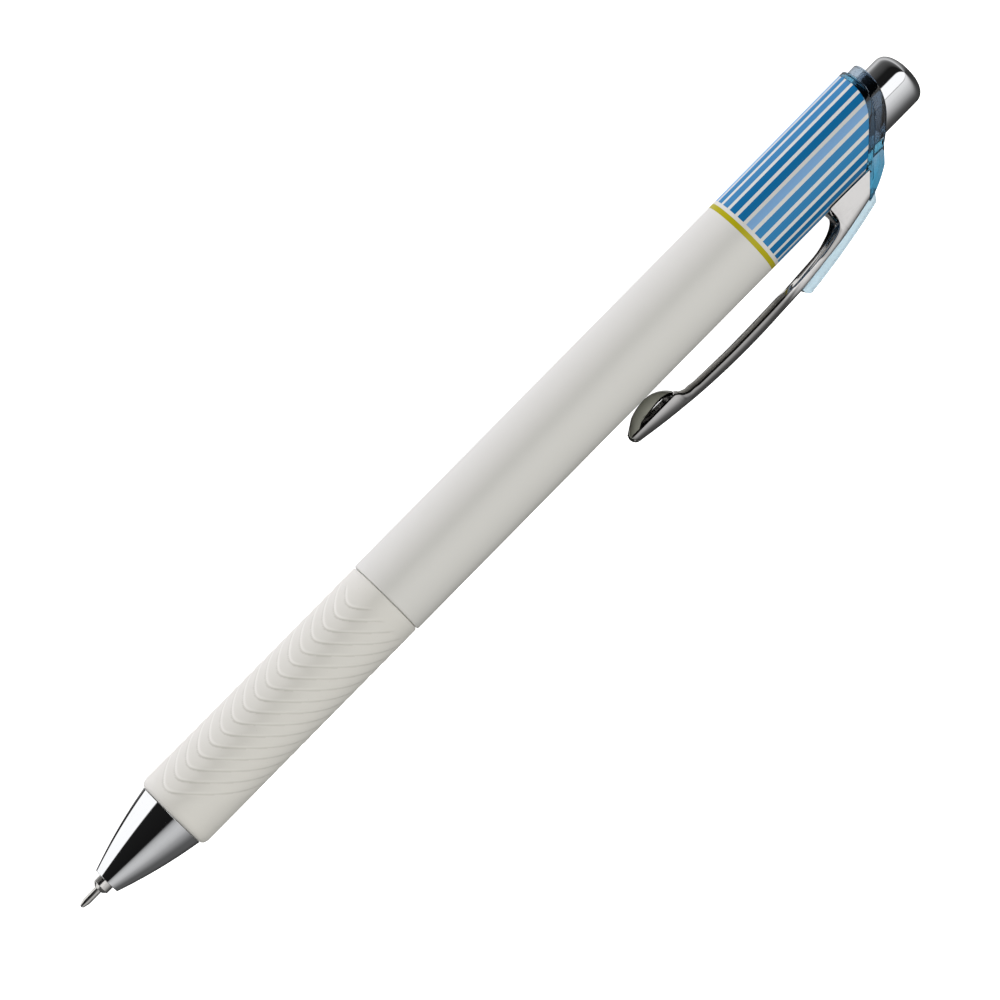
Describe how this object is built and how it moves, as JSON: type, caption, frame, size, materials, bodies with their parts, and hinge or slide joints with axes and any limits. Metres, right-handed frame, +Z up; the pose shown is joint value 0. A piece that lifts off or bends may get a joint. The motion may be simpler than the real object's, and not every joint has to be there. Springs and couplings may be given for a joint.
{
  "type": "gel pen",
  "caption": "Retractable gel pen with a rubber grip, chrome nose, button and clip, striped white barrel and clear blue clip holder.",
  "frame": {"origin": "the writing point, with the point out, on the pen's axis", "axes": "+X runs along the pen's axis from the writing point to the push button; +Z is up, with the pen lying on a table on its barrel and clip; the clip points to -Y and a little down"},
  "size_m": [0.1447, 0.0159, 0.0117],
  "materials": {
    "pearl_white_plastic": "pearly white with blue lengthwise stripes and an olive gold line at the top",
    "grip_rubber": "matte off-white rubber with fine chevron ridges",
    "chrome_plate": "bright chrome",
    "clip_steel": "bright plated pressed steel",
    "clear_blue_plastic": "clear teal blue, glossy",
    "pale_blue_plastic": "clear pale blue, glossy",
    "white_mechanism_plastic": "plain moulded",
    "grey_mechanism_plastic": "plain moulded",
    "spring_steel": "bright drawn wire",
    "needle_steel": "fine turned steel",
    "ball_carbide": "ground carbide",
    "clear_tube_plastic": "clear extruded tube",
    "frosted_plastic": "frosted moulded",
    "blue_ink": "wet ink",
    "clear_follower": "clear gel"
  },
  "bodies": {
    "barrel": {"barrel": "pearl_white_plastic", "grip": "grip_rubber", "nose_cone": "chrome_plate", "cam_guide": "grey_mechanism_plastic", "clip_holder": "clear_blue_plastic", "return_spring": "spring_steel"},
    "button": {"button_cap": "chrome_plate", "plunger": "white_mechanism_plastic"},
    "refill": {"refill_tube": "clear_tube_plastic", "refill_joint": "frosted_plastic", "tip_holder": "needle_steel", "needle": "needle_steel", "writing_ball": "ball_carbide", "ball_spring": "spring_steel", "ink": "blue_ink", "follower": "clear_follower", "tail_plug": "frosted_plastic"},
    "rotor": {"rotor": "white_mechanism_plastic"},
    "clip": {"clip": "clip_steel", "clip_inlay": "pale_blue_plastic"}
  },
  "joints": [
    {"name": "button_slide", "type": "slide", "parent": "barrel", "child": "button", "axis": [1, 0, 0], "range_m": [-0.0013, 0.005]},
    {"name": "refill_slide", "type": "slide", "parent": "barrel", "child": "refill", "axis": [1, 0, 0], "range_m": [-0.0013, 0.005], "deforming": ["return_spring"]},
    {"name": "rotor_turn", "type": "hinge", "parent": "refill", "child": "rotor", "pos_m": [0.1145, 0, 0], "axis": [1, 0, 0], "continuous": true},
    {"name": "clip_flex", "type": "hinge", "parent": "barrel", "child": "clip", "pos_m": [0.1302, -0.00646, -0.00269], "axis": [0, -0.3851, 0.9229], "range_deg": [0, 3.5], "stiffness_Nm_per_rad": 1.5}
  ],
  "couplings": [
    {"joint": "refill_slide", "follows": "button_slide", "ratio": 1}
  ]
}
